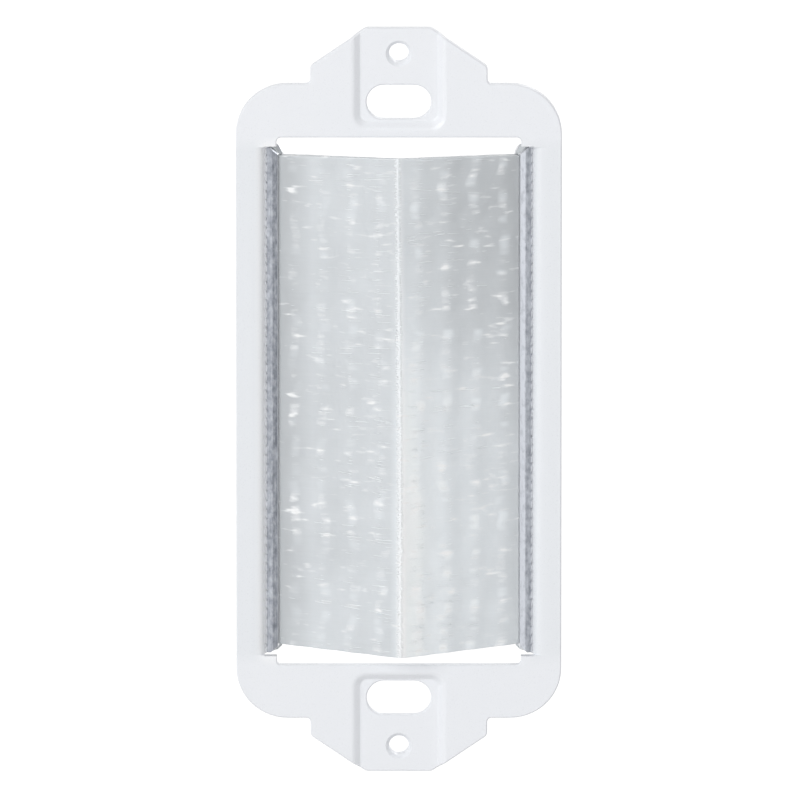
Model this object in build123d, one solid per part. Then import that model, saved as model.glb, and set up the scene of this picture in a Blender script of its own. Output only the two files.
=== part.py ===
"""Brush pass-through insert for a wall box: a white stamped strap with two strip brushes.

The strap is one blanked and folded steel sheet. Its two ears are pressed back so that
screw heads lie below the face, and the long edges of its opening are folded back into
seats that tip the brushes forward. Each strip brush is a crimped metal channel that
clamps crimped nylon filaments, folded over a core wire. The two rows of filaments meet
in a ridge in front of the strap, and a cable passes between them.

Millimetres. X to the right seen from the front, Y back into the wall, Z up. The origin
is the centre of the screw pattern, in the plane of the strap's flat back.
"""

import os
from math import atan2, cos, degrees, radians, sin, sqrt, tan

from build123d import *

# Strap sheet
SHEET = 1.2
EDGE_BREAK = 0.16
BODY_WIDTH = 44.45
BODY_HEIGHT = 88.64
BODY_CORNER = 7.0

# Screw pattern of a wall box and of its cover plate, placed from the ends of the body
SLOT_INSET = 2.65
SLOT_LENGTH = 8.8
SLOT_WIDTH = 4.78
COVER_SCREW_OFFSET = 6.75
TAPPED_HOLE_DIAMETER = 2.72
COLLAR_WALL = 0.72
COLLAR_DEPTH = 1.1
HOLE_LEAD_IN = 0.45

# Ears
EAR_WIDTH = 24.2
EAR_TIP_WIDTH = 9.0
EAR_SLOPE_HEIGHT = 5.2
EAR_END_MARGIN = 3.55
EAR_CORNER = 0.9
EAR_ROOT_CORNER = 0.6

# Pressed recess in each ear
RECESS_DEPTH = 0.8
RECESS_WALL_RUN = 0.9
RECESS_SIDE_MARGIN = 0.9
RECESS_END_MARGIN = 0.25
RECESS_CORNER = 1.0
RECESS_BEND_INSIDE = 0.3
RECESS_BEND_OUTSIDE = 0.9

# Opening and the folded brush seats
BRIDGE = 1.25
RAIL_WIDTH = 3.8
CORNER_TAB = 1.75
OPENING_CORNER = 0.6
SEAT_END_GAP = 1.35
RELIEF_GAP = 0.12
SOFT_BEND_RADIUS = 6.0
SOFT_BEND_ANGLE = 8.0
TIGHT_BEND_INSIDE = 0.1
BRUSH_TILT = 21.0
SEAT_MARGIN = 0.15

# Strip brush
CHANNEL_WIDTH = 3.2
CHANNEL_HEIGHT = 1.75
CHANNEL_SHEET = 0.4
CHANNEL_CORNER = 0.28
CHANNEL_MOUTH = 2.3
CHANNEL_LIP_HEIGHT = 0.55
CHANNEL_END_GAP = 0.25
CHANNEL_NIP = 0.9
CRIMP_MARK_PITCH = 1.27
CRIMP_MARK_DEPTH = 0.12
CORE_WIRE_DIAMETER = 0.7
CORE_WIRE_END_INSET = 1.2
FILAMENT_CLEARANCE = 0.03
FILAMENT_UNDER_WIRE = 0.22
FILAMENT_END_INSET = 1.05
FILAMENT_SPLAY = 0.75
FILAMENT_TIP_THICKNESS = 1.4
FILAMENT_CRIMP_LENGTH = 4.1
FILAMENT_CRIMP_HEIGHT = 0.22
RIDGE_GAP = 0.12
TUFT_COUNT = 50
TUFT_GAP = 0.22
TUFT_GAP_DEPTH = 12.0

# How near counts as touching when edges are picked by their place
TOUCH = 0.01

# Places on the strap that follow from the sizes above
slot_height = BODY_HEIGHT / 2 - SLOT_INSET
cover_screw_height = slot_height + COVER_SCREW_OFFSET
ear_tip_height = cover_screw_height + EAR_END_MARGIN
recess_floor_end = slot_height - SLOT_WIDTH / 2 - RECESS_END_MARGIN
recess_half_width = SLOT_LENGTH / 2 + RECESS_SIDE_MARGIN
recess_wall_angle = degrees(atan2(RECESS_WALL_RUN, RECESS_DEPTH))
recess_floor_front = RECESS_DEPTH - SHEET
recess_back_grow = SHEET / cos(radians(recess_wall_angle)) - SHEET * tan(radians(recess_wall_angle))
opening_half_height = recess_floor_end - RECESS_WALL_RUN - BRIDGE
opening_half_width = BODY_WIDTH / 2 - RAIL_WIDTH - CORNER_TAB
seat_half_length = opening_half_height - SEAT_END_GAP

# Fold of the right-hand seat: a soft bend, a tight bend, then a flat seat square to the filaments
fold_angle = 90 - BRUSH_TILT
tight_bend_outside = TIGHT_BEND_INSIDE + SHEET
soft_turn = radians(SOFT_BEND_ANGLE)
full_turn = radians(fold_angle)
soft_run = SOFT_BEND_RADIUS * sin(soft_turn)
soft_drop = SOFT_BEND_RADIUS * (1 - cos(soft_turn))
tight_run = tight_bend_outside * (sin(full_turn) - sin(soft_turn))
tight_drop = tight_bend_outside * (cos(soft_turn) - cos(full_turn))
seat_start = Vector(BODY_WIDTH / 2 - RAIL_WIDTH, soft_drop + tight_drop - SHEET, 0)
bend_start_x = seat_start.X + tight_run + soft_run
seat_width = CHANNEL_WIDTH + 2 * SEAT_MARGIN

# Brush plane on the right: x along the filaments, y across the channel to the front, z up
to_ridge = Vector(-sin(full_turn), -cos(full_turn), 0)
down_seat = Vector(-cos(full_turn), sin(full_turn), 0)
seat_centre = seat_start + down_seat * (seat_width / 2)
brush_plane = Plane(origin=seat_centre, x_dir=to_ridge, z_dir=(0, 0, 1))

# Sizes of the strip brush that follow from its seat
channel_half_length = seat_half_length - CHANNEL_END_GAP
filament_root_half = channel_half_length - FILAMENT_END_INSET
filament_tip_half = filament_root_half + FILAMENT_SPLAY
lip_slope = (CHANNEL_WIDTH - CHANNEL_MOUTH) / 2 / CHANNEL_LIP_HEIGHT
core_wire_place = CHANNEL_SHEET + FILAMENT_UNDER_WIRE + CORE_WIRE_DIAMETER / 2
ridge_clear = RIDGE_GAP / 2 + FILAMENT_TIP_THICKNESS / 2 * cos(full_turn)
filament_tip = (seat_centre.X - ridge_clear) / sin(full_turn)


def upright(sketch, back=0.0):
    """A sketch drawn in X and Z, stood up at a distance behind the strap's flat back."""
    return Plane(origin=(0, back, 0), x_dir=(1, 0, 0), z_dir=(0, -1, 0)) * sketch


def both_ears(shape):
    """The shape and its mirror image at the other ear."""
    return [shape, mirror(shape, about=Plane.XY)]


def strap_outline():
    """Blank of the strap seen from the front: the body and its two tapered ears."""
    body = RectangleRounded(BODY_WIDTH, BODY_HEIGHT, BODY_CORNER)
    half, tip = EAR_WIDTH / 2, EAR_TIP_WIDTH / 2
    slope_start = ear_tip_height - EAR_SLOPE_HEIGHT
    ear = make_face(Polyline(
        (-half, 0), (-half, slope_start), (-tip, ear_tip_height),
        (tip, ear_tip_height), (half, slope_start), (half, 0), close=True,
    ))
    ear = fillet(ear.vertices().sort_by(Axis.Y)[2:], EAR_CORNER)
    blank = body + ear + mirror(ear, about=Plane.XZ)
    roots = [
        vertex for vertex in blank.vertices()
        if abs(abs(vertex.X) - half) < TOUCH and abs(abs(vertex.Y) - BODY_HEIGHT / 2) < TOUCH
    ]
    return fillet(roots, EAR_ROOT_CORNER)


def opening_outline():
    """Hole in the blank: narrow at its two ends, wide where the seats fold, with a relief past them."""
    ends = RectangleRounded(2 * opening_half_width, 2 * opening_half_height, OPENING_CORNER)
    folds = Rectangle(2 * bend_start_x, 2 * seat_half_length)
    reliefs = Rectangle(2 * seat_start.X, 2 * (seat_half_length + RELIEF_GAP))
    return ends + folds + reliefs


def recess_outline(grow):
    """Floor of the pressed recess in the upper ear, grown by an amount; it runs out past the tip."""
    half = recess_half_width + grow
    end = recess_floor_end - grow
    past_tip = ear_tip_height + RECESS_DEPTH + RECESS_WALL_RUN + SHEET
    outline = make_face(
        Polyline((-half, end), (half, end), (half, past_tip), (-half, past_tip), close=True)
    )
    return fillet(outline.vertices().sort_by(Axis.Y)[:2], RECESS_CORNER + grow)


def recess_pocket():
    """What the press takes out of the front of the upper ear."""
    floor = upright(recess_outline(0), recess_floor_front)
    return extrude(floor, RECESS_DEPTH, taper=-recess_wall_angle)


def recess_boss(outline):
    """What the press pushes out behind the upper ear, one sheet thick all round the pocket."""
    back = upright(recess_outline(recess_back_grow), RECESS_DEPTH)
    pushed = extrude(back, RECESS_DEPTH, taper=-recess_wall_angle)
    return pushed & extrude(upright(outline, RECESS_DEPTH), RECESS_DEPTH)


def recess_edges(sheet, level, grow):
    """Edges of both recesses at one level, where the press bends the sheet."""
    half, end, corner = recess_half_width + grow, recess_floor_end - grow, RECESS_CORNER + grow
    found = []
    for edge in sheet.edges():
        across, along = abs((edge @ 0.5).X), abs((edge @ 0.5).Z)
        on_side = abs(across - half) < TOUCH and along > end
        on_end = abs(along - end) < TOUCH and across < half
        on_corner = half - corner < across < half and end < along < end + corner
        level_all_along = all(abs((edge @ share).Y - level) < TOUCH for share in (0, 0.5, 1))
        if level_all_along and (on_side or on_end or on_corner):
            found.append(edge)
    return found


def bend_recesses(sheet):
    """The recess edges rounded as the press leaves them, soft outside each bend and tight inside."""
    sheet = fillet(recess_edges(sheet, -SHEET, RECESS_WALL_RUN), RECESS_BEND_OUTSIDE)
    sheet = fillet(recess_edges(sheet, recess_floor_front, 0), RECESS_BEND_INSIDE)
    return fillet(recess_edges(sheet, RECESS_DEPTH, recess_back_grow), RECESS_BEND_OUTSIDE)


def is_cut_wall(face):
    """Whether a face was left by blanking, square to the sheet."""
    if face.geom_type == GeomType.PLANE:
        return abs(face.normal_at().Y) < TOUCH
    return face.geom_type == GeomType.CYLINDER and abs(face.axis_of_rotation.direction.Y) > 1 - TOUCH


def rolled_edges(sheet):
    """Front edges of the blank's outline, opening and slots, which blanking rolls over a little."""
    found = []
    for face in filter(is_cut_wall, sheet.faces()):
        for edge in face.edges():
            middle = edge @ 0.5
            past_seats = abs(middle.Z) > seat_half_length + RELIEF_GAP + TOUCH
            past_bends = abs(middle.X) > bend_start_x + TOUCH
            across_sheet = abs((edge % 0.5).Y) > 1 - TOUCH
            just_behind = middle - face.normal_at(middle) * TOUCH + Vector(0, TOUCH, 0)
            if (past_seats or past_bends) and not across_sheet and sheet.is_inside(just_behind):
                found.append(edge)
    return found


def tapped_collar():
    """Plunged collar behind the upper cover-screw hole."""
    radius = TAPPED_HOLE_DIAMETER / 2 + COLLAR_WALL
    end = upright(Pos(0, cover_screw_height) * Circle(radius), RECESS_DEPTH + COLLAR_DEPTH)
    return extrude(end, COLLAR_DEPTH + SHEET / 2)


def tapped_hole():
    """Bore through ear and collar, with the tapered lead-in that plunging leaves at the front."""
    bore = TAPPED_HOLE_DIAMETER / 2
    front = recess_floor_front
    back = RECESS_DEPTH + COLLAR_DEPTH
    mouth = bore + HOLE_LEAD_IN
    profile = make_face(Polyline(
        (0, back), (bore, back), (bore, front + HOLE_LEAD_IN),
        (mouth, front), (mouth, front - SHEET), (0, front - SHEET), close=True,
    ))
    return Pos(0, 0, cover_screw_height) * revolve(profile, Axis.Y)


def screw_slot():
    """Slot for the box screw in the upper ear."""
    outline = Pos(0, slot_height) * SlotOverall(SLOT_LENGTH, SLOT_WIDTH)
    return extrude(upright(outline, RECESS_DEPTH), RECESS_DEPTH + SHEET)


def fold_line(inset):
    """Edges of one face of the fold, from the blank to the end of the seat, inset from the front."""
    soft = SOFT_BEND_RADIUS - inset
    tight = tight_bend_outside - inset
    soft_centre = Vector(bend_start_x, SOFT_BEND_RADIUS - SHEET)
    out_of_soft = Vector(-sin(soft_turn), -cos(soft_turn))
    tight_centre = soft_centre + out_of_soft * (SOFT_BEND_RADIUS - tight_bend_outside)
    seat_from = tight_centre + to_ridge * tight
    return [
        CenterArc(soft_centre, soft, 270, -SOFT_BEND_ANGLE),
        CenterArc(tight_centre, tight, 270 - SOFT_BEND_ANGLE, SOFT_BEND_ANGLE - fold_angle),
        Line(seat_from, seat_from + down_seat * seat_width),
    ]


def brush_seat():
    """Folded edge on the right of the opening, which carries the brush."""
    front, back = fold_line(0), fold_line(SHEET)
    ends = [Line(front[0] @ 0, back[0] @ 0), Line(front[-1] @ 1, back[-1] @ 1)]
    profile = make_face(front + back + ends)
    return Pos(0, 0, -seat_half_length) * extrude(profile, 2 * seat_half_length)


def strap():
    """The whole stamped strap as one sheet."""
    outline = strap_outline()
    blank = extrude(upright(outline - opening_outline()), SHEET)
    seat = brush_seat()
    sheet = blank + seat + mirror(seat, about=Plane.YZ)
    sheet = sheet - both_ears(recess_pocket()) + both_ears(recess_boss(outline))
    sheet = bend_recesses(sheet) - both_ears(screw_slot())
    sheet = chamfer(rolled_edges(sheet), EDGE_BREAK)
    return sheet + both_ears(tapped_collar()) - both_ears(tapped_hole())


def channel_line(inset):
    """Corners of the channel's section at an inset from its outside, from mouth to mouth."""
    side = CHANNEL_WIDTH / 2 - inset
    lip = atan2(lip_slope, 1)
    lip_start = CHANNEL_HEIGHT - CHANNEL_LIP_HEIGHT - inset * tan(lip / 2)
    mouth = CHANNEL_MOUTH / 2 - inset / cos(lip)
    half = [(CHANNEL_HEIGHT, mouth), (lip_start, side), (inset, side)]
    return half + [(along, -across) for along, across in reversed(half)]


def brush_channel():
    """Roll-formed channel that clamps the filaments, in the brush plane."""
    section = make_face(Polyline(*channel_line(0), *reversed(channel_line(CHANNEL_SHEET)), close=True))
    roots = section.vertices().group_by(Axis.X)[0]
    section = chamfer(roots, CHANNEL_CORNER)
    channel = Pos(0, 0, -channel_half_length) * extrude(section, 2 * channel_half_length)
    return channel - channel_nips() - crimp_marks()


def channel_nips():
    """Corners clipped off the mouth at both ends of the channel."""
    corner = make_face(Polyline(
        (CHANNEL_HEIGHT, channel_half_length), (CHANNEL_HEIGHT, channel_half_length - CHANNEL_NIP),
        (CHANNEL_HEIGHT - CHANNEL_NIP, channel_half_length), close=True,
    ))
    nip = extrude(Plane.XZ * corner, CHANNEL_WIDTH, both=True)
    return [nip, mirror(nip, about=Plane.XY)]


def crimp_marks():
    """Row of notches that the crimping wheel leaves along both root corners."""
    corner_face = -CHANNEL_CORNER / sqrt(2)
    deep = corner_face - CRIMP_MARK_DEPTH
    shallow = corner_face + CRIMP_MARK_DEPTH
    count = int(2 * channel_half_length / CRIMP_MARK_PITCH)
    start = -count * CRIMP_MARK_PITCH / 2
    points = []
    for mark in range(count):
        points.append((shallow, start + mark * CRIMP_MARK_PITCH))
        points.append((deep, start + (mark + 0.5) * CRIMP_MARK_PITCH))
    points.append((shallow, -start))
    points += [(CHANNEL_CORNER, -start), (CHANNEL_CORNER, start)]
    across = Plane(origin=(0, CHANNEL_WIDTH / 2, 0), x_dir=(-1, 1, 0), z_dir=(1, 1, 0))
    row = extrude(across * make_face(Polyline(*points, close=True)), CHANNEL_HEIGHT / 2, both=True)
    return [row, mirror(row, about=Plane.XZ)]


def core_wire(radius, half_length):
    """Round bar along the middle of the channel's root, in the brush plane."""
    return Pos(core_wire_place, 0, 0) * Cylinder(radius, 2 * half_length)


def filament_section():
    """Section of the filament row: packed round the wire, then a crimped slab out to the ridge."""
    rooted = channel_line(CHANNEL_SHEET + FILAMENT_CLEARANCE)
    mouth_half = rooted[0][1]
    steps = round((filament_tip - CHANNEL_HEIGHT) / FILAMENT_CRIMP_LENGTH * 2)
    front, back = [], []
    for step in range(1, steps + 1):
        share = step / steps
        along = CHANNEL_HEIGHT + share * (filament_tip - CHANNEL_HEIGHT)
        half = mouth_half + share * (FILAMENT_TIP_THICKNESS / 2 - mouth_half)
        wave = FILAMENT_CRIMP_HEIGHT * (1 if step % 2 else -1) if step < steps else 0
        front.append((along, half + wave))
        back.append((along, wave - half))
    return make_face(Polyline(*rooted, *back, *reversed(front), close=True))


def filament_comb():
    """The row seen along its thickness: splayed towards its ends and split into tufts."""
    split = filament_tip - TUFT_GAP_DEPTH
    points = [(0, -filament_root_half), (CHANNEL_HEIGHT, -filament_root_half)]
    points.append((filament_tip, -filament_tip_half))
    for gap in range(1, TUFT_COUNT):
        share = 2 * gap / TUFT_COUNT - 1
        at_tip = share * filament_tip_half
        at_split = share * (filament_root_half + FILAMENT_SPLAY * (split - CHANNEL_HEIGHT)
                            / (filament_tip - CHANNEL_HEIGHT))
        points.append((filament_tip, at_tip - TUFT_GAP / 2))
        points.append((split, at_split))
        points.append((filament_tip, at_tip + TUFT_GAP / 2))
    points.append((filament_tip, filament_tip_half))
    points += [(CHANNEL_HEIGHT, filament_root_half), (0, filament_root_half)]
    return Plane.XZ * make_face(Polyline(*points, close=True))


def bristles():
    """Row of filaments in the brush plane, folded over the core wire."""
    slab = extrude(filament_section(), filament_tip_half, both=True)
    row = slab & extrude(filament_comb(), CHANNEL_WIDTH, both=True)
    return row - core_wire(CORE_WIRE_DIAMETER / 2 + FILAMENT_CLEARANCE, filament_tip_half)


def write(node, shape):
    export_step(shape, f"parts/{node}.step")


def main():
    os.makedirs("parts", exist_ok=True)
    write("strap_frame", strap())
    brush = {
        "brush_channel": brush_channel(),
        "core_wire": core_wire(CORE_WIRE_DIAMETER / 2, channel_half_length - CORE_WIRE_END_INSET),
        "bristles": bristles(),
    }
    for name, piece in brush.items():
        right = brush_plane * piece
        write(f"{name}_right", right)
        write(f"{name}_left", mirror(right, about=Plane.YZ))


main()
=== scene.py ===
"""Brush pass-through insert, dressed for its picture: paint, zinc, steel wire and loose nylon."""

import math

import bmesh
import bpy
import numpy as np
from mathutils import Matrix, Vector


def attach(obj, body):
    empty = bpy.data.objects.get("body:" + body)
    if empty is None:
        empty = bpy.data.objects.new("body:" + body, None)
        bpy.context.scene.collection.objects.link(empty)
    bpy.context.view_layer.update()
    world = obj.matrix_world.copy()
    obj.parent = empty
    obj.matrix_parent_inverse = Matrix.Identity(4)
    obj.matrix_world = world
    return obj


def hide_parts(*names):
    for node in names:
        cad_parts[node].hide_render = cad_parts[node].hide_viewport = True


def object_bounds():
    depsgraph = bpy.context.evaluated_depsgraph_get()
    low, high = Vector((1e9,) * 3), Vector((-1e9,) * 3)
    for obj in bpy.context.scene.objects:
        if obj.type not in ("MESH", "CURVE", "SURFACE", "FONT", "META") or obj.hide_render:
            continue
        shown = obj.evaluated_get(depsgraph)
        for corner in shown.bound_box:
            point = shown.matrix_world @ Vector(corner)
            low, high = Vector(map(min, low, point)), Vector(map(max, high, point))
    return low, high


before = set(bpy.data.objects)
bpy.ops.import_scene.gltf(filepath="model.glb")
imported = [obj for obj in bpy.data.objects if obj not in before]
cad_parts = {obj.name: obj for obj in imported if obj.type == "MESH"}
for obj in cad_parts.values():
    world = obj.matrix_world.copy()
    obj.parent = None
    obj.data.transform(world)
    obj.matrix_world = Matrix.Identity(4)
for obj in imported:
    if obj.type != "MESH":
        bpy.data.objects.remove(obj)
cad_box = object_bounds()

MM = 0.001

# Place of the right-hand brush, in millimetres: the middle of its seat and its lean to the front
SEAT_X = 17.798
SEAT_Y = 1.314
BRUSH_TILT = math.radians(21.0)

# The two rows of filaments: name, side, seed of the random draws and lean of the combed stretch
ROWS = (("left", -1, 11, -0.6), ("right", 1, 23, -2.0))

# Row of filaments, in millimetres along, across and up the brush
ROOT_HALF_LENGTH = 34.12
TIP_HALF_LENGTH = 34.87
MOUTH = 1.75
MOUTH_HALF_THICKNESS = 0.55
TIP_HALF_THICKNESS = 0.36
SWELL = 0.26
SWELL_RUN = 0.35

# Ridge where the rows meet: a rounded crest, which lies right of the middle below its top.
# Order up a row runs from -1 at its lower end to 1 at its upper end.
RIDGE_CLEARANCE = 0.005
RIDGE_SHIFT = 0.34
RIDGE_SHIFT_TOP = 0.9
CROWN_RUN = 0.6
CROWN_DROP = 0.115

# Crimp of the filaments: it grows from the mouth, fades to the tip and wanders up the row
CRIMP_WAVES = 4.15
CRIMP_ACROSS = 0.078
CRIMP_GROWTH = 8.0
CRIMP_FADE = 6.0
CRIMP_AT_TIP = 0.2
CRIMP_WANDER_SPACING = 2.5
CRIMP_WANDER_REACH = 0.9
QUARTER_WAVE = 0.25

# Lean of the filaments: a wander and a combed stretch, gone at both ends of the row
LEAN_WANDER_SPACING = 12.0
LEAN_WANDER_REACH = 0.6
LEAN_FADE = 6.0
LEAN_CURVE = 1.6
COMBED_MIDDLE = -11.0
COMBED_REACH = 9.0

# Packed filaments of the row: one mass, with a ridge up its faces for each filament
PACKED_ROOT = 1.4
PACKED_STEPS = 48
PACKED_GRADING = 1.3
PACKED_FILAMENTS = 340
PACKED_RIDGE = 0.016
PACKED_RIDGE_LEAST = 0.3
TRIM_UNEVENNESS = 0.04

# Cut tips along the ridge, with levels as shares of the row's half thickness
CUT_TIPS = 680
CUT_TIP_STEPS = 3
CUT_TIP_SHARE = 0.035
CUT_TIP_LEVEL = 0.78
CUT_TIP_RISE = 0.2
CUT_TIP_STAGGER = 0.25
CUT_TIP_CROSSING = 0.6

# Loose filaments on each face of the row, with levels as shares of its half thickness
LOOSE_FILAMENTS = 170
LOOSE_LEVEL = 0.8
LOOSE_LEVEL_SPREAD = 0.03
LOOSE_PHASE_SPREAD = 0.15
LOOSE_LEAN_SPREAD = 0.1
LOOSE_HEIGHTS = (1.2, 2.2)
STRAY_SHARE = 0.3
STRAY_PHASE = 0.5
STRAY_LEAN = 1.2
STRAY_LIFT = 0.05
FILAMENT_RADIUS = 0.07
FILAMENT_SIDES = 5
FILAMENT_STEPS = 18
FILAMENT_ROOT = 0.75
WIRE_CLEARANCE = 0.46
WIRE_LAYER = 0.2

# Filaments cut short at the nipped ends of the channel
STUB_PITCH = 0.12
STUB_ROOT = 0.45
STUB_HALF_LENGTH = 35.2
STUB_HALF_THICKNESS = 0.5
STUBS_ACROSS = 9
NIP_REACH = 36.08
NIP_BACK_REACH = 0.25

# Share of an edge's length along an axis from which the edge counts as running along it
ALONG_AXIS = 0.9

# Where a finish changes, in millimetres from the middle of the part: it starts at the first
# place and is full at the second
BESIDE_OPENING = (37.0, 35.0)
# The rails are darkened with painted shade, and the folds, mostly the left one, are lightened with
# painted light
RAILS = (18.0, 18.5)
FOLDS = (19.82, 18.0)
TOWARDS_LEFT = (20.0, -20.0)
RIGHT_HALF = (-1.25, 1.25)
# Spans on the zinc: the lips, with their painted light and shade, the cut edge, and the painted
# light on the rim and the nipped ends
CHANNEL_LIP = (17.4, 17.15)
CHANNEL_EDGE = (16.617, 16.533)
CHANNEL_RIM = (18.02, 18.187)
CHANNEL_END = (34.0, 35.0)
# Spans of the nylon's painted shade at the roots and painted light towards the ridge and the lower
# end
ROW_ROOTS = (11.82, 16.36)
ROW_INNER = (8.33, 0.0)
ROW_LOWER = (22.86, -5.71)

# The same from the middle of the channel to its back, for the painted light on the nipped ends, and
# from the ridge to both sides, for the painted highlight along it
CHANNEL_BACK = (0.0, 0.333)
TIP_LINE = (0.853, 0.265)

# Where painted highlights on the nylon start and are full, on the crest of a crimp and in a noise
BLOOM_CREST = (0.227, 1.136)
BLOOM_ROWS = (0.52, 0.687)
GLINT_CREST = (0.389, 0.944)
GLINT_HEIGHTS = (0.48, 0.68)
GLINT_FLECKS = (0.42, 0.67)
DASH_FLECKS = (0.64, 0.783)
NOISE_MIDDLE = 0.5

# Colours of the paint: two that it clouds between, a darker one on its rails that is painted shade,
# and a lighter one in its folds that is painted light
PAINT_DULL = (0.835, 0.853, 0.888, 1)
PAINT_CLEAR = (0.86, 0.875, 0.905, 1)
PAINT_RAIL_SHADE = (0.81, 0.832, 0.862, 1)
PAINT_FOLD_LIGHT = (0.97, 0.975, 0.98, 1)

# Colours of the zinc, and its tone from dark at 0 to light at 1: a base and what is added to it;
# the right channel's lighter tone, the left lip's darker one and the right lip's lighter one are
# painted light and shade
ZINC_DARK = (0.16, 0.172, 0.198, 1)
ZINC_LIGHT = (0.5, 0.52, 0.56, 1)
ZINC_CUT_AND_PAINTED_LIGHT = (0.72, 0.73, 0.75, 1)
# Pale, matt colour painted as light on the rim beside the seat and on the nipped ends
ZINC_PAINTED_LIGHT = (0.86, 0.87, 0.89, 1)
ZINC_PAINTED_LIGHT_DULLNESS = 0.85
ZINC_BASE = 0.47
ZINC_MOTTLE = 1.5
ZINC_DRAW = 0.4
ZINC_RIGHT_PAINTED_LIGHT = 0.12
ZINC_LIP_PAINTED_SHADE = -0.22
ZINC_RIGHT_LIP_PAINTED_LIGHT = 0.6

# Colours of the core wire
WIRE_DARK = (0.36, 0.37, 0.39, 1)
WIRE_LIGHT = (0.54, 0.55, 0.57, 1)

# Colours of the nylon, and its tone likewise: packed filaments are hazy, loose ones clear; the
# tone's terms for the roots, the inner part and the right row are painted shade and light, and the
# bright colour is a painted highlight
NYLON_DARK = (0.53, 0.552, 0.57, 1)
NYLON_LIGHT = (0.9, 0.938, 0.966, 1)
NYLON_PAINTED_HIGHLIGHT = (0.97, 0.98, 0.99, 1)
PACKED_TONE = 0.385
PACKED_HAZE = 0.8
LOOSE_TONE = 0.8
LOOSE_HAZE = 0.0
NYLON_UP = -0.0008
NYLON_INNER_LIGHT = 0.06
NYLON_ROOT_SHADE = -0.44
NYLON_STREAK = 0.09
NYLON_PATCH = 0.34
NYLON_PAINTED_BLOOM = 0.18
NYLON_RIGHT_SHADE = -0.17
NYLON_RIGHT_LOWER_LIGHT = 0.42
NYLON_RIGHT_INNER_LIGHT = 0.36
NYLON_RIGHT_ROOT_SHADE = 0.2
NYLON_RIGHT_PAINTED_BLOOM = 0.22
NYLON_SWAY = 5.0
NYLON_SHINE = 0.85
NYLON_SHINE_SMOOTHNESS = 0.24
TIP_PAINTED_GLOW = 0.44
TIP_PAINTED_GLOW_UP = -0.009

# Camera: the photograph's frame is square, and its middle lies just right of the screw pattern's
CAMERA_DISTANCE = 4.0
CAMERA_ELEVATION = 12.5
CAMERA_CLIP = (0.1, 50.0)
PHOTO_PIXELS = 800
PIXELS_PER_MM = 7.32
FRAME_WIDTH = PHOTO_PIXELS / PIXELS_PER_MM * MM
SENSOR_WIDTH = 36.0
AIM = Vector((0.15, 0.0, 0.008)) * MM

# Light: even light from all round, a key from the left, a strip at each side and a lamp behind.
# Lamps have azimuth and elevation in degrees, distance, width and height in metres, and power.
ROUND_LIGHT = 0.5
LAMPS = {
    "key": (-28, 20, 2.4, 1.4, 1.4, 27.8),
    "left_strip": (-58, 2, 1.2, 0.06, 0.8, 1.2),
    "right_strip": (46, 0, 1.2, 0.06, 0.8, 1.2),
    "back": (155, 30, 2.4, 1.4, 1.4, 18.0),
}

# Floor: its glow and colour where it is seen, and the colour that throws light on the object
FLOOR_GLOW = 0.72
FLOOR_SEEN = (0.5, 0.5, 0.5, 1)
FLOOR_BOUNCE = (0.68, 0.68, 0.68, 1)
FLOOR_DROP = 0.04
FLOOR_HALF_WIDTH = 6.0


class Socket:
    """A shader socket that takes part in sums; each operator adds a Math node."""

    def __init__(self, finish, socket):
        self.finish = finish
        self.socket = socket

    def combined(self, operation, first, second, held=False):
        settings = {"operation": operation, "use_clamp": held}
        return self.finish.node("ShaderNodeMath", settings, {0: first, 1: second})

    def __add__(self, other):
        return self.combined("ADD", self, other)

    def __radd__(self, other):
        return self.combined("ADD", other, self)

    def __sub__(self, other):
        return self.combined("SUBTRACT", self, other)

    def __rsub__(self, other):
        return self.combined("SUBTRACT", other, self)

    def __mul__(self, other):
        return self.combined("MULTIPLY", self, other)

    def __abs__(self):
        return self.combined("ABSOLUTE", self, 0.0)

    def sine(self):
        return self.combined("SINE", self, 0.0)

    def held(self):
        """The value kept between 0 and 1."""
        return self.combined("ADD", self, 0.0, held=True)

    def ramp(self, start, full):
        """0 up to where it starts, 1 from where it is full, and even in between."""
        return ((self - start) * (1 / (full - start))).held()

    def graded(self, low, high):
        """A value from 0 to 1 brought between two others."""
        return self * (high - low) + low


class Finish:
    """The node tree of one material, or of the world."""

    def __init__(self, owner):
        owner.use_nodes = True
        self.owner = owner
        self.tree = owner.node_tree
        self.tree.nodes.clear()

    def node(self, kind, settings, inputs, output=0):
        """Adds a node, sets it up, feeds its sockets and gives back one of its outputs."""
        made = self.tree.nodes.new(kind)
        for name, value in settings.items():
            setattr(made, name, value)
        for key, value in inputs.items():
            if isinstance(value, Socket):
                self.tree.links.new(value.socket, made.inputs[key])
            else:
                made.inputs[key].default_value = value
        return Socket(self, made.outputs[output]) if made.outputs else made

    def place(self, scale):
        """Object coordinates, stretched along each axis."""
        coordinates = self.node("ShaderNodeTexCoord", {}, {}, "Object")
        return self.node("ShaderNodeMapping", {}, {"Vector": coordinates, "Scale": scale})

    def along(self, axis):
        """One Object coordinate, in millimetres."""
        place = self.place((1 / MM, 1 / MM, 1 / MM))
        return self.node("ShaderNodeSeparateXYZ", {}, {0: place}, axis)

    def noise(self, scale, detail=2.0, roughness=0.5):
        sockets = {"Vector": self.place(scale), "Scale": 1.0}
        sockets.update({"Detail": detail, "Roughness": roughness})
        return self.node("ShaderNodeTexNoise", {}, sockets)

    def blended(self, share, first, second):
        sockets = {"Factor": share, 6: first, 7: second}
        return self.node("ShaderNodeMix", {"data_type": "RGBA"}, sockets, 2)

    def bump(self, height, strength, depth):
        sockets = {"Height": height, "Strength": strength, "Distance": depth}
        return self.node("ShaderNodeBump", {}, sockets)

    def shaded(self, sockets):
        surface = self.node("ShaderNodeBsdfPrincipled", {}, sockets)
        self.node("ShaderNodeOutputMaterial", {}, {"Surface": surface})
        return self.owner


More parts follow.
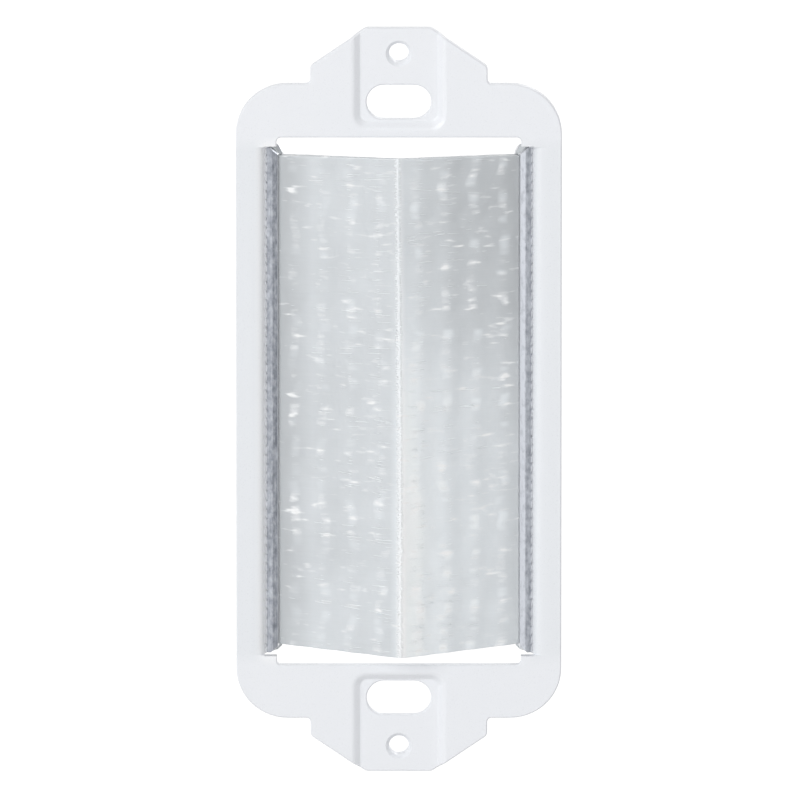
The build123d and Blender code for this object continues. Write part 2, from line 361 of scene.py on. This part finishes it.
def paint():
    """White powder coat: a cool satin white with a faint orange peel, with painted shade on its
    rails and painted light in its folds, mostly the left one.
    """
    finish = Finish(bpy.data.materials.new("white_paint"))
    cloud = finish.noise((45, 45, 45))
    peel = finish.noise((900, 900, 900))
    grain = finish.noise((5200, 5200, 5200), 1.0)
    across = finish.along("X")
    beside = abs(finish.along("Z")).ramp(*BESIDE_OPENING)
    # Painted shade: the rails beside the opening are darkened.
    rail_shade = abs(across).ramp(*RAILS) * beside
    # Painted light: the fold beside the left channel is lightened over its shade, the right one
    # barely.
    fold_light = abs(across).ramp(*FOLDS) * beside * across.ramp(*TOWARDS_LEFT)
    coat = finish.blended(cloud, PAINT_DULL, PAINT_CLEAR)
    coat = finish.blended(rail_shade, coat, PAINT_RAIL_SHADE)
    return finish.shaded({
        "Base Color": finish.blended(fold_light, coat, PAINT_FOLD_LIGHT),
        "Roughness": grain.graded(0.24, 0.34),
        "Normal": finish.bump(peel + grain * 0.25, 0.1, 0.00005),
        "IOR": 1.5,
    })


def zinc():
    """Zinc-coated strip: dull and mottled, drawn along its length and smoother on its lips.

    Its cut edges are bare and lighter, also as painted light over the shade in the mouth; its rim
    beside the seat and its nipped ends are pale and matt, painted light over their shade. The right
    channel is painted lighter, its lip lighter still, and the left lip painted darker.
    """
    finish = Finish(bpy.data.materials.new("zinc_channel"))
    across, depth, up = finish.along("X"), finish.along("Y"), finish.along("Z")
    mottle = finish.noise((1700, 1700, 900), 3.0, 0.6)
    draw = finish.noise((7000, 7000, 220))
    right = across.ramp(*RIGHT_HALF)
    lip = abs(across).ramp(*CHANNEL_LIP)
    behind = depth - SEAT_Y + (SEAT_X - abs(across)) * math.tan(BRUSH_TILT)
    nipped = behind.ramp(*CHANNEL_BACK) * abs(up).ramp(*CHANNEL_END)
    # Painted light: the rim beside the seat and the nipped ends are made pale and matt over their
    # shade.
    pale = (abs(across).ramp(*CHANNEL_RIM) + nipped).held()
    tone = (mottle - NOISE_MIDDLE) * ZINC_MOTTLE + (draw - NOISE_MIDDLE) * ZINC_DRAW
    # Painted light and shade: the right channel lighter, its lip lighter still, and the left lip
    # darker.
    tone = tone + right * ZINC_RIGHT_PAINTED_LIGHT + ZINC_BASE + lip * (right * ZINC_RIGHT_LIP_PAINTED_LIGHT + ZINC_LIP_PAINTED_SHADE)
    coat = finish.blended(tone.held(), ZINC_DARK, ZINC_LIGHT)
    # The bare cut edge of the lips, made lighter also as painted light over the shaded mouth.
    coat = finish.blended(abs(across).ramp(*CHANNEL_EDGE), coat, ZINC_CUT_AND_PAINTED_LIGHT)
    return finish.shaded({
        "Base Color": finish.blended(pale, coat, ZINC_PAINTED_LIGHT),
        "Metallic": 1 - pale * ZINC_PAINTED_LIGHT_DULLNESS,
        "Roughness": lip.graded(0.58, 0.32),
        "Normal": finish.bump(mottle + draw * 0.5, 0.3, 0.00005),
    })


def wire():
    """Drawn steel wire with fine lines along it."""
    finish = Finish(bpy.data.materials.new("core_wire"))
    draw = finish.noise((9000, 9000, 120))
    return finish.shaded({
        "Base Color": finish.blended(draw, WIRE_DARK, WIRE_LIGHT),
        "Metallic": 1.0,
        "Roughness": draw.graded(0.25, 0.4),
    })


def crimp_crest(finish, across):
    """1 on the tops of the crimps and -1 between them, with a sway up the row."""
    reach = SEAT_X - MOUTH * math.cos(BRUSH_TILT)
    sway = (finish.noise((70, 70, 240), 1.0) - NOISE_MIDDLE) * NYLON_SWAY
    waves = (CRIMP_WAVES - QUARTER_WAVE) - abs(across) * (CRIMP_WAVES / reach)
    return (waves * (2 * math.pi) + sway).sine()


def nylon(name, pale, haze):
    """Clear nylon filaments: pale, with painted highlights on the tops of their crimps and along
    their cut tips, painted shade at their roots, and painted light and shade across the right row.
    """
    finish = Finish(bpy.data.materials.new(name))
    across, up = finish.along("X"), finish.along("Z")
    streak = finish.noise((90, 420, 5200), 2.0, 0.6)
    patch = finish.noise((140, 140, 110))
    heights = finish.noise((35, 35, 620), 1.0)
    rows = finish.noise((110, 110, 560), 1.0)
    fleck = finish.noise((380, 380, 1600), 1.0)
    crest = crimp_crest(finish, across)
    right = across.ramp(*RIGHT_HALF)
    roots = abs(across).ramp(*ROW_ROOTS)
    inner = abs(across).ramp(*ROW_INNER)
    lower = up.ramp(*ROW_LOWER)
    # Painted highlight: soft bright blooms on the crests of the crimps.
    painted_bloom = crest.ramp(*BLOOM_CREST) * rows.ramp(*BLOOM_ROWS)

    # Painted light and shade: lighter towards the ridge, the right row lighter below and darker at
    # its top, and darker at the roots.
    tone = pale + up * NYLON_UP + inner * NYLON_INNER_LIGHT
    tone = tone + right * (lower * NYLON_RIGHT_LOWER_LIGHT + inner * NYLON_RIGHT_INNER_LIGHT + NYLON_RIGHT_SHADE)
    tone = tone + roots * (right * NYLON_RIGHT_ROOT_SHADE + NYLON_ROOT_SHADE)
    tone = tone + (streak - NOISE_MIDDLE) * NYLON_STREAK + (patch - NOISE_MIDDLE) * NYLON_PATCH
    tone = tone + painted_bloom * (right * NYLON_RIGHT_PAINTED_BLOOM + NYLON_PAINTED_BLOOM)
    body = finish.blended(tone.held(), NYLON_DARK, NYLON_LIGHT)

    # Painted glints on the crests and dashes in a noise brighten the colour; the same share also
    # adds a gloss coat and lowers the roughness.
    painted_glint = crest.ramp(*GLINT_CREST) * heights.ramp(*GLINT_HEIGHTS) * fleck.ramp(*GLINT_FLECKS)
    glint_paint_and_gloss = (painted_glint + fleck.ramp(*DASH_FLECKS)).held() * NYLON_SHINE
    # Painted highlight along the ridge where the cut tips meet, stronger lower down.
    ridge = (RIDGE_SHIFT_TOP - up * (1 / ROOT_HALF_LENGTH)).held() * RIDGE_SHIFT
    tips = abs(across - ridge).ramp(*TIP_LINE) * (up * TIP_PAINTED_GLOW_UP + TIP_PAINTED_GLOW)
    return finish.shaded({
        "Base Color": finish.blended((glint_paint_and_gloss + tips).held(), body, NYLON_PAINTED_HIGHLIGHT),
        "Roughness": streak.graded(0.28, 0.4) - glint_paint_and_gloss * NYLON_SHINE_SMOOTHNESS,
        "Normal": finish.bump(streak, 0.06, 0.00003),
        "IOR": 1.53,
        "Coat Weight": glint_paint_and_gloss,
        "Coat Roughness": 0.12,
        "Subsurface Weight": haze,
        "Subsurface Radius": (1, 1, 1),
        "Subsurface Scale": 0.0003,
    })


def floor_white():
    """Floor that looks white where nothing shades it and keeps a soft shadow."""
    finish = Finish(bpy.data.materials.new("floor_white"))
    glow = finish.node("ShaderNodeEmission", {}, {"Strength": FLOOR_GLOW})
    matt = finish.node("ShaderNodeBsdfDiffuse", {}, {"Color": FLOOR_SEEN})
    plain = finish.node("ShaderNodeBsdfDiffuse", {}, {"Color": FLOOR_BOUNCE})
    seen = finish.node("ShaderNodeAddShader", {}, {0: glow, 1: matt})
    surface = finish.node("ShaderNodeMixShader", {}, {0: shown_ray(finish), 1: plain, 2: seen})
    finish.node("ShaderNodeOutputMaterial", {}, {"Surface": surface})
    return finish.owner


def shown_ray(finish):
    """1 for a ray that shows the surface: straight, in a reflection or through nylon."""
    rays = [finish.node("ShaderNodeLightPath", {}, {}, name)
            for name in ("Is Camera Ray", "Is Glossy Ray", "Is Transmission Ray")]
    return (rays[0] + rays[1] + rays[2]).held()


class Wander:
    """A slow random wander up the row, which stays within a reach."""

    def __init__(self, rng, spacing, reach):
        end = TIP_HALF_LENGTH + 2 * spacing
        self.knots = np.arange(-TIP_HALF_LENGTH - spacing, end, spacing)
        self.values = rng.uniform(-reach, reach, len(self.knots))

    def at(self, up):
        return np.interp(up, self.knots, self.values)


class Row:
    """How the filaments of one brush lie: their crimp, their lean and the side they are on."""

    def __init__(self, side, seed, combed):
        self.side = side
        self.rng = np.random.default_rng(seed)
        self.combed = combed
        self.phase = Wander(self.rng, CRIMP_WANDER_SPACING, CRIMP_WANDER_REACH)
        self.wander = Wander(self.rng, LEAN_WANDER_SPACING, LEAN_WANDER_REACH)

    def lean(self, up):
        """How far the tips stand above the roots: a wander, and a stretch combed one way."""
        combed = np.exp(-((up - COMBED_MIDDLE) / COMBED_REACH) ** 2)
        return self.wander.at(up) + self.combed * combed

    def lay(self, share, order, level, **own):
        """Points from shares of the length, order up the row and level between back and front.

        Filaments may have a root, phase, lean, height, lift or shortness of their own.
        """
        root = own.get("root", FILAMENT_ROOT)
        shift = self.side * RIDGE_SHIFT * np.clip(RIDGE_SHIFT_TOP - order, 0, 1)
        bow = shift * math.tan(BRUSH_TILT)
        ridge = SEAT_X - RIDGE_CLEARANCE - shift
        ridge = ridge + (level * TIP_HALF_THICKNESS + bow) * math.sin(BRUSH_TILT)
        ridge = ridge / math.cos(BRUSH_TILT)
        tip = ridge - own.get("short", 0.0)
        along = root + share * (tip - root)
        out = np.clip((along - MOUTH) / (tip - MOUTH), 0, 1)
        inside = np.clip((MOUTH - along) / (MOUTH - FILAMENT_ROOT), 0, 1)

        root_up = order * ROOT_HALF_LENGTH
        turn = 2 * math.pi * CRIMP_WAVES * out + self.phase.at(root_up) + own.get("phase", 0.0)
        grip = np.clip(out * CRIMP_GROWTH, 0, 1) * np.clip((1 - out) * CRIMP_FADE, CRIMP_AT_TIP, 1)
        swell = SWELL * (1 - np.exp((MOUTH - np.maximum(along, MOUTH)) / SWELL_RUN)) * (1 - out)
        taper = out * (TIP_HALF_THICKNESS - MOUTH_HALF_THICKNESS)
        across = level * (MOUTH_HALF_THICKNESS + taper + swell)
        across = across - np.cos(turn) * grip * CRIMP_ACROSS * own.get("height", 1.0)
        across = across + own.get("lift", 0.0) * np.sin(math.pi * out) + bow * out
        crown = CROWN_DROP * np.maximum(1 - (ridge - along) / CROWN_RUN, 0) ** 2
        across = across - crown * (level > 0)
        beside_wire = np.sign(level) * WIRE_CLEARANCE + level * WIRE_LAYER
        across = across * (1 - inside) + beside_wire * inside

        ends = np.clip((1 - np.abs(order)) * LEAN_FADE, 0, 1)
        bend = (self.lean(root_up) + own.get("lean", 0.0)) * ends
        splay = out * order * (TIP_HALF_LENGTH - ROOT_HALF_LENGTH)
        return along, across, root_up + splay + bend * out ** LEAN_CURVE

    def placed(self, along, across, up):
        """From places on the right-hand brush to the part's frame, mirrored for the left."""
        x = SEAT_X - along * math.cos(BRUSH_TILT) + across * math.sin(BRUSH_TILT)
        y = SEAT_Y - along * math.sin(BRUSH_TILT) - across * math.cos(BRUSH_TILT)
        return np.stack([self.side * x, y, up], axis=-1) * MM


def added(name, data):
    """An object of its own, put into the scene."""
    made = bpy.data.objects.new(name, data)
    bpy.context.scene.collection.objects.link(made)
    return made


def edges_along(shape, axis):
    """Edges of a straight-sided shape that run along one axis."""
    found = []
    for edge in shape.edges:
        run = edge.verts[1].co - edge.verts[0].co
        if abs(run[axis]) > ALONG_AXIS * run.length:
            found.append(edge)
    return found


def divided(shape, axis, steps):
    """Divides the edges along one axis, and the faces between them, into even steps."""
    edges = edges_along(shape, axis)
    bmesh.ops.subdivide_edges(shape, edges=edges, cuts=steps - 1, use_grid_fill=True)


def mesh_of(shape, name):
    mesh = bpy.data.meshes.new(name)
    shape.to_mesh(mesh)
    shape.free()
    return mesh


def points_of(mesh):
    points = np.empty(3 * len(mesh.vertices))
    mesh.vertices.foreach_get("co", points)
    return points.reshape(-1, 3)


def finished_piece(mesh, places, finish):
    """A mesh moved to its places, smooth and facing outwards, as an object of its own."""
    mesh.vertices.foreach_set("co", places.astype(np.float32).ravel())
    shape = bmesh.new()
    shape.from_mesh(mesh)
    bmesh.ops.recalc_face_normals(shape, faces=shape.faces)
    for face in shape.faces:
        face.smooth = True
    shape.to_mesh(mesh)
    shape.free()
    mesh.materials.append(finish)
    return added(mesh.name, mesh)


def packed_filaments(name, row, finish):
    """The filaments of a row as one crimped mass, each a ridge on its faces, unevenly trimmed."""
    lines = 2 * PACKED_FILAMENTS
    shape = bmesh.new()
    bmesh.ops.create_cube(shape, size=1.0)
    divided(shape, 0, PACKED_STEPS)
    divided(shape, 2, lines)
    mesh = mesh_of(shape, name)
    points = points_of(mesh)
    line = np.rint((points[:, 2] + 0.5) * lines).astype(int)
    ridge = row.rng.uniform(PACKED_RIDGE_LEAST, 1, lines + 1)
    ridge = ridge * (np.arange(lines + 1) % 2) * PACKED_RIDGE
    short = row.rng.uniform(0, TRIM_UNEVENNESS, lines + 1)
    face = np.sign(points[:, 1])
    along, across, up = row.lay(
        1 - (0.5 - points[:, 0]) ** PACKED_GRADING, points[:, 2] * 2, face,
        root=PACKED_ROOT, short=short[line],
    )
    return finished_piece(mesh, row.placed(along, across + face * ridge[line], up), finish)


def filament_bundle(name, count, steps):
    """Straight filaments of unit length along Z in one mesh, and the points of one of them."""
    shape = bmesh.new()
    bmesh.ops.create_cone(
        shape, cap_ends=True, segments=FILAMENT_SIDES, radius1=FILAMENT_RADIUS,
        radius2=FILAMENT_RADIUS, depth=1.0,
    )
    bmesh.ops.translate(shape, verts=shape.verts, vec=(0, 0, 0.5))
    if steps > 1:
        divided(shape, 2, steps)
    one = mesh_of(shape, "filament")
    points = points_of(one)
    bundle = bmesh.new()
    for _ in range(count):
        bundle.from_mesh(one)
    bpy.data.meshes.remove(one)
    return mesh_of(bundle, name), points


def finished_bundle(mesh, points, row, lines, finish):
    """A bundle with each filament's points set round its line."""
    along, across, up = lines
    places = row.placed(along, across + points[:, 0], up + points[:, 1])
    return finished_piece(mesh, places, finish)


def end_stubs(name, row, finish):
    """The filaments under the nipped corners at both ends of the channel, cut short with them."""
    rise = np.arange(ROOT_HALF_LENGTH + STUB_PITCH, STUB_HALF_LENGTH, STUB_PITCH)
    spread = np.linspace(-STUB_HALF_THICKNESS, STUB_HALF_THICKNESS, STUBS_ACROSS)
    grid = np.meshgrid(np.concatenate([-rise, rise]), spread)
    up, across = grid[0].reshape(-1, 1), grid[1].reshape(-1, 1)
    mesh, points = filament_bundle(name, len(up), 1)
    further_back = NIP_BACK_REACH * np.maximum(-across / STUB_HALF_THICKNESS, 0)
    reach = NIP_REACH + further_back - np.abs(up)
    along = STUB_ROOT + points[:, 2] * (np.minimum(MOUTH, reach) - STUB_ROOT)
    return finished_bundle(mesh, points, row, (along, across, up), finish)


def cut_tips(name, row, finish):
    """The cut ends of the filaments along the ridge; those of the right row cross the joint."""
    mesh, points = filament_bundle(name, CUT_TIPS, CUT_TIP_STEPS)
    index = np.arange(CUT_TIPS)[:, None]
    crossing = CUT_TIP_CROSSING if row.side > 0 else 0
    lines = row.lay(
        1 - (1 - points[:, 2]) * CUT_TIP_SHARE,
        (index + 0.5 + CUT_TIP_STAGGER * row.side) / CUT_TIPS * 2 - 1,
        CUT_TIP_LEVEL + CUT_TIP_RISE * points[:, 2],
        short=-row.rng.uniform(0, 1, index.shape) * crossing,
    )
    return finished_bundle(mesh, points, row, lines, finish)


def loose_filaments(name, row, face, finish):
    """The filaments that lie loose on one face of a row, some of them astray."""
    mesh, points = filament_bundle(name, LOOSE_FILAMENTS, FILAMENT_STEPS)
    rng = row.rng
    each = (LOOSE_FILAMENTS, 1)
    index = np.arange(LOOSE_FILAMENTS)[:, None] + rng.uniform(0, 1, each)
    strays = rng.uniform(0, 1, each) < STRAY_SHARE
    stray_phase = (-STRAY_PHASE, STRAY_PHASE)
    lines = row.lay(
        points[:, 2], index / LOOSE_FILAMENTS * 2 - 1,
        level=face * (LOOSE_LEVEL + rng.normal(0, LOOSE_LEVEL_SPREAD, each)),
        phase=rng.normal(0, LOOSE_PHASE_SPREAD, each) + strays * rng.uniform(*stray_phase, each),
        lean=rng.normal(0, LOOSE_LEAN_SPREAD, each) + strays * rng.normal(0, STRAY_LEAN, each),
        height=rng.uniform(*LOOSE_HEIGHTS, each),
        lift=face * strays * rng.uniform(0, STRAY_LIFT, each),
        short=rng.uniform(0, TRIM_UNEVENNESS, each),
    )
    return finished_bundle(mesh, points, row, lines, finish)


def dress_nodes():
    """The CAD nodes that stay, each with the finish of its slot."""
    finishes = {"strap_frame": paint()}
    channel, core = zinc(), wire()
    for side in ("left", "right"):
        finishes[f"brush_channel_{side}"] = channel
        finishes[f"core_wire_{side}"] = core
    for name, finish in finishes.items():
        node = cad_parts[name]
        node.data.materials.clear()
        node.data.materials.append(finish)


def lay_bristles():
    """Packed and loose filaments in place of the plain bristle solids."""
    hazy = nylon("packed_nylon", PACKED_TONE, PACKED_HAZE)
    clear = nylon("loose_nylon", LOOSE_TONE, LOOSE_HAZE)
    for name, side, seed, combed in ROWS:
        row = Row(side, seed, combed)
        pieces = [
            packed_filaments(f"filaments_{name}_packed", row, hazy),
            end_stubs(f"filaments_{name}_ends", row, clear),
            cut_tips(f"filaments_{name}_tips", row, clear),
            loose_filaments(f"filaments_{name}_front", row, 1, clear),
            loose_filaments(f"filaments_{name}_back", row, -1, clear),
        ]
        for piece in pieces:
            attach(piece, "root")
            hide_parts(f"bristles_{name}")


def set_floor():
    shape = bmesh.new()
    bmesh.ops.create_grid(shape, x_segments=1, y_segments=1, size=FLOOR_HALF_WIDTH)
    bmesh.ops.translate(shape, verts=shape.verts, vec=(0, 0, cad_box[0].z - FLOOR_DROP))
    mesh = mesh_of(shape, "floor")
    mesh.materials.append(floor_white())
    floor = added("floor", mesh)


def set_world():
    """Even white light, plain white to the eye and softer on the object."""
    world = bpy.data.worlds.new("studio")
    bpy.context.scene.world = world
    finish = Finish(world)
    strength = shown_ray(finish).graded(ROUND_LIGHT, 1.0)
    sockets = {"Color": (1, 1, 1, 1), "Strength": strength}
    sky = finish.node("ShaderNodeBackground", {}, sockets)
    finish.node("ShaderNodeOutputWorld", {}, {"Surface": sky})


def toward(azimuth, elevation):
    """The way out from the object; azimuth runs from the front to the right, in degrees."""
    turn, rise = math.radians(azimuth), math.radians(elevation)
    level = Vector((math.sin(turn), -math.cos(turn), 0)) * math.cos(rise)
    return level + Vector((0, 0, math.sin(rise)))


def set_lamp(name, azimuth, elevation, distance, width, height, power):
    """A soft lamp that faces the object."""
    data = bpy.data.lights.new(name, "AREA")
    data.shape = "RECTANGLE"
    data.size, data.size_y = width, height
    data.energy = power
    way = toward(azimuth, elevation)
    facing = way.to_track_quat("Z", "Y").to_matrix().to_4x4()
    added(name, data).matrix_world = Matrix.Translation(way * distance) @ facing


def set_camera():
    data = bpy.data.cameras.new("camera")
    data.sensor_width = SENSOR_WIDTH
    data.lens = SENSOR_WIDTH * CAMERA_DISTANCE / FRAME_WIDTH
    data.clip_start, data.clip_end = CAMERA_CLIP
    way = toward(0, CAMERA_ELEVATION)
    camera = added("camera", data)
    camera.location = AIM + way * CAMERA_DISTANCE
    camera.rotation_euler = way.to_track_quat("Z", "Y").to_euler()
    bpy.context.scene.camera = camera


dress_nodes()
lay_bristles()
set_floor()
set_world()
for lamp_name, lamp_settings in LAMPS.items():
    set_lamp(lamp_name, *lamp_settings)
set_camera()
bpy.context.scene.view_settings.view_transform = "Standard"
